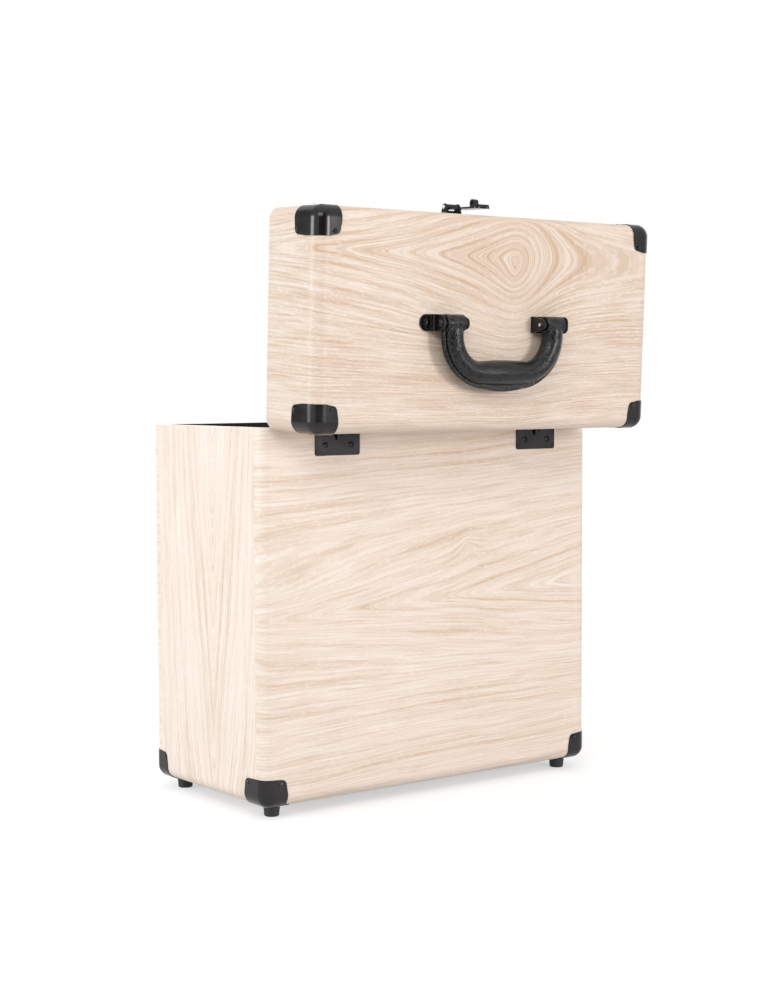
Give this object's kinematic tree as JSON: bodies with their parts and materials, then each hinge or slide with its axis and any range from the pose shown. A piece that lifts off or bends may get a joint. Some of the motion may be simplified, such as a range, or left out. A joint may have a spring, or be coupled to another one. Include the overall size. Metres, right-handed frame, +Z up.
{
  "type": "record carrying case",
  "caption": "Pale wood-grain record carrying case, lid open, with black corner guards, feet, butt hinges, folding carrying handle and hasp latch",
  "frame": {"origin": "middle of the underside of the base box, feet reaching below it", "axes": "+Z up, +Y towards the rear face with the hinges, +X completes the right-hand frame along the width"},
  "size_m": [0.3534, 0.2804, 0.5006],
  "materials": {
    "wood_vinyl": "satin",
    "board": "matte",
    "lining": "matte",
    "black_metal": "satin",
    "black_leatherette": "satin",
    "black_rubber": "matte",
    "steel": "satin",
    "bright": "polished"
  },
  "bodies": {
    "case_base": {"base_front_cover": "wood_vinyl", "base_rear_cover": "wood_vinyl", "base_left_cover": "wood_vinyl", "base_right_cover": "wood_vinyl", "base_bottom_cover": "wood_vinyl", "base_bottom_board": "board", "base_front_board": "board", "base_rear_board": "board", "base_left_board": "board", "base_right_board": "board", "base_wall_lining": "lining", "base_floor_lining": "lining", "base_guard_rear_left": "black_metal", "base_guard_rear_right": "black_metal", "base_guard_front_left": "black_metal", "base_guard_front_right": "black_metal", "base_guard_rivets": "black_metal", "feet": "black_rubber", "foot_screws": "steel", "hinge_base_leaves": "black_metal", "hinge_base_rivets": "black_metal", "lock_case": "black_metal", "lock_plate": "black_metal", "lock_rivets": "black_metal"},
    "lid": {"lid_cover": "wood_vinyl", "lid_top_board": "board", "lid_front_board": "board", "lid_rear_board": "board", "lid_left_board": "board", "lid_right_board": "board", "lid_wall_lining": "lining", "lid_top_lining": "lining", "lid_guard_rear_left": "black_metal", "lid_guard_rear_right": "black_metal", "lid_guard_front_left": "black_metal", "lid_guard_front_right": "black_metal", "lid_guard_rivets": "black_metal", "hinge_lid_leaves": "black_metal", "hinge_lid_rivets": "black_metal", "hinge_pins": "steel", "latch_bracket": "black_metal", "latch_bracket_rivets": "black_metal", "hasp_pin": "steel", "handle_plates": "black_metal", "handle_outer_ears": "black_metal", "handle_rivets": "black_metal", "handle_pins": "bright"},
    "handle": {"handle_grip": "black_leatherette"},
    "hasp_flap": {"hasp": "black_metal"},
    "lock_catch": {"lock_slide": "black_metal"}
  },
  "joints": [
    {"name": "lid_hinge", "type": "hinge", "parent": "case_base", "child": "lid", "pos_m": [0, 0.089, 0.3026], "axis": [1, 0, 0], "range_deg": [0, 92.5]},
    {"name": "handle_pivot", "type": "hinge", "parent": "lid", "child": "handle", "pos_m": [0, 0.1752, 0.38792], "axis": [1, 0, 0], "range_deg": [0, 180]},
    {"name": "hasp_pivot", "type": "hinge", "parent": "lid", "child": "hasp_flap", "pos_m": [0, 0.10844, 0.48643], "axis": [1, 0, 0], "range_deg": [0, 180]},
    {"name": "lock_slide_travel", "type": "slide", "parent": "case_base", "child": "lock_catch", "axis": [-1, 0, 0], "range_m": [0, 0.004], "stiffness_N_per_m": 300, "springref_m": -0.002}
  ]
}
